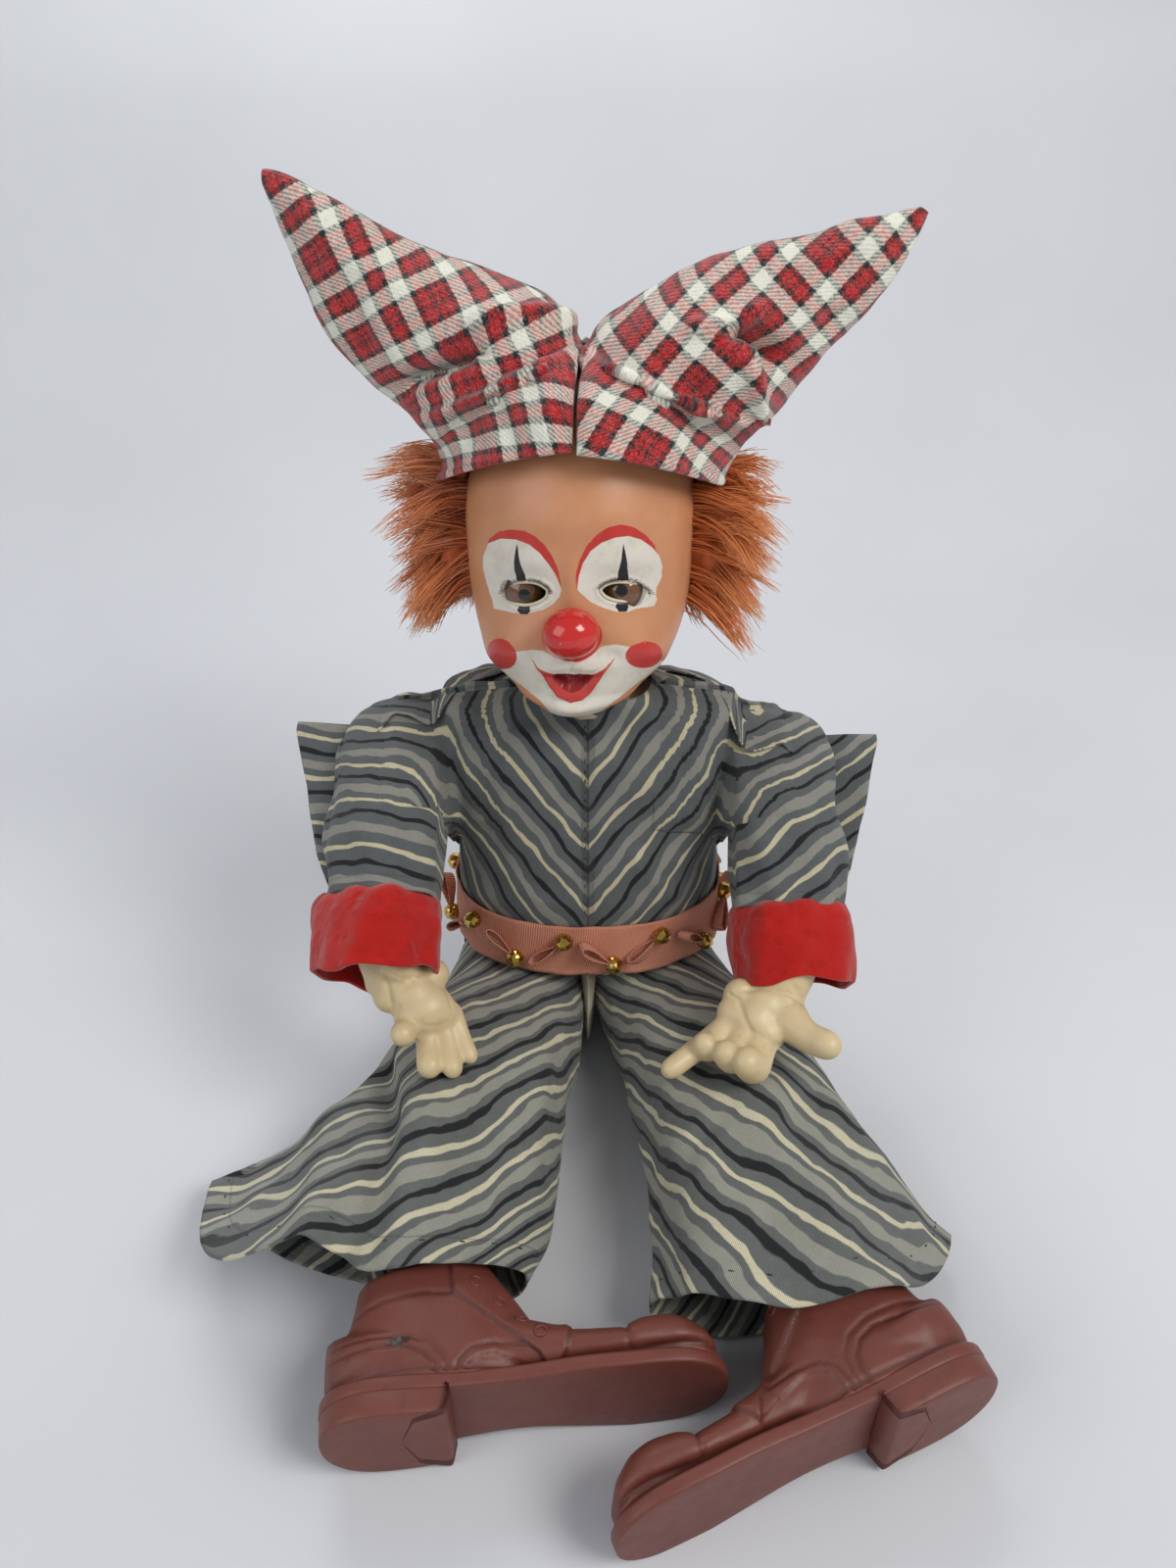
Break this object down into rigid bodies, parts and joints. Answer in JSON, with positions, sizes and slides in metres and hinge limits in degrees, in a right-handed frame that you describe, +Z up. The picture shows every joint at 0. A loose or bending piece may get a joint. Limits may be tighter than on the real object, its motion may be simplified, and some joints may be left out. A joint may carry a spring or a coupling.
{
  "type": "clown doll",
  "caption": "Seated cloth-bodied clown doll with a vinyl head, sleeping eyes, horned felt hat, flared striped suit, beaded ribbon belt and rubber boots.",
  "frame": {"origin": "on the floor, in the middle of the flat bottom that the doll sits on", "axes": "+Z up, -Y the way the doll faces, +X to the doll's left"},
  "size_m": [0.287, 0.3267, 0.3647],
  "materials": {
    "body_cloth": "matte",
    "suit_cloth": "matte",
    "ribbon": "satin",
    "gold_bead": "polished",
    "tie_cord": "matte",
    "face_vinyl": "satin",
    "hair": "matte",
    "eye_plastic": "gloss",
    "rocker_metal": "satin",
    "plaid_wool": "matte",
    "red_felt": "matte",
    "hand_vinyl": "satin",
    "stocking": "matte",
    "boot_rubber": "satin"
  },
  "bodies": {
    "torso": {"cloth_torso": "body_cloth", "bodice": "suit_cloth", "trouser_seat": "suit_cloth", "neck_tie": "tie_cord", "belt_ribbon": "ribbon", "bead_01": "gold_bead", "loop_01": "ribbon", "bead_02": "gold_bead", "loop_02": "ribbon", "bead_03": "gold_bead", "loop_03": "ribbon", "bead_04": "gold_bead", "loop_04": "ribbon", "bead_05": "gold_bead", "loop_05": "ribbon", "bead_06": "gold_bead", "loop_06": "ribbon", "bead_07": "gold_bead", "loop_07": "ribbon", "bead_08": "gold_bead", "loop_08": "ribbon", "bead_09": "gold_bead", "loop_09": "ribbon", "bead_10": "gold_bead", "loop_10": "ribbon", "bead_11": "gold_bead", "loop_11": "ribbon", "bead_12": "gold_bead", "loop_12": "ribbon", "bead_13": "gold_bead", "loop_13": "ribbon", "bead_14": "gold_bead", "loop_14": "ribbon", "bead_15": "gold_bead", "loop_15": "ribbon", "bead_16": "gold_bead", "loop_16": "ribbon"},
    "head": {"head": "face_vinyl", "wig_left": "hair", "wig_right": "hair", "wig_back": "hair"},
    "eyes": {"eye_left": "eye_plastic", "eye_right": "eye_plastic", "eye_rocker": "rocker_metal"},
    "hat": {"hat_left": "plaid_wool", "hat_right": "plaid_wool"},
    "arm_left": {"cloth_arm_left": "body_cloth", "sleeve_left": "suit_cloth", "cuff_left": "red_felt"},
    "hand_left": {"hand_left": "hand_vinyl"},
    "leg_left": {"cloth_leg_left": "stocking", "trouser_leg_left": "suit_cloth"},
    "boot_left": {"boot_left": "boot_rubber"},
    "arm_right": {"cloth_arm_right": "body_cloth", "sleeve_right": "suit_cloth", "cuff_right": "red_felt"},
    "hand_right": {"hand_right": "hand_vinyl"},
    "leg_right": {"cloth_leg_right": "stocking", "trouser_leg_right": "suit_cloth"},
    "boot_right": {"boot_right": "boot_rubber"}
  },
  "joints": [
    {"name": "head_turn", "type": "hinge", "parent": "torso", "child": "head", "pos_m": [-0.0025, -0.02283, 0.17525], "axis": [0, 0.1736, 0.9848], "range_deg": [-35, 35]},
    {"name": "eye_sleep", "type": "hinge", "parent": "head", "child": "eyes", "pos_m": [-0.00494, -0.04792, 0.234], "axis": [0.9976, -0.0687, 0.0121], "range_deg": [0, 65]},
    {"name": "hat_lift", "type": "slide", "parent": "head", "child": "hat", "axis": [0, 0.1736, 0.9848], "range_m": [0, 0.15]},
    {"name": "shoulder_left", "type": "hinge", "parent": "torso", "child": "arm_left", "pos_m": [0.078, -0.022, 0.15], "axis": [-1, 0, 0], "range_deg": [0, 100]},
    {"name": "wrist_left", "type": "hinge", "parent": "arm_left", "child": "hand_left", "pos_m": [0.084, -0.0853, 0.08887], "axis": [0, -0.7193, -0.6947], "range_deg": [-20, 10]},
    {"name": "hip_left", "type": "hinge", "parent": "torso", "child": "leg_left", "pos_m": [0.035, -0.042, 0.028], "axis": [1, 0, 0], "range_deg": [0, 90]},
    {"name": "ankle_left", "type": "hinge", "parent": "leg_left", "child": "boot_left", "pos_m": [0.09295, -0.2103, 0.02709], "axis": [0.3256, -0.9455, -0.0051], "range_deg": [-20, 20]},
    {"name": "shoulder_right", "type": "hinge", "parent": "torso", "child": "arm_right", "pos_m": [-0.078, -0.022, 0.15], "axis": [-1, 0, 0], "range_deg": [0, 90]},
    {"name": "wrist_right", "type": "hinge", "parent": "arm_right", "child": "hand_right", "pos_m": [-0.084, -0.0958, 0.10207], "axis": [0, -0.8387, -0.5446], "range_deg": [-20, 20]},
    {"name": "hip_right", "type": "hinge", "parent": "torso", "child": "leg_right", "pos_m": [-0.035, -0.042, 0.028], "axis": [1, 0, 0], "range_deg": [0, 90]},
    {"name": "ankle_right", "type": "hinge", "parent": "leg_right", "child": "boot_right", "pos_m": [-0.06159, -0.20991, 0.02713], "axis": [-0.1564, -0.9877, -0.0051], "range_deg": [-20, 20]}
  ]
}
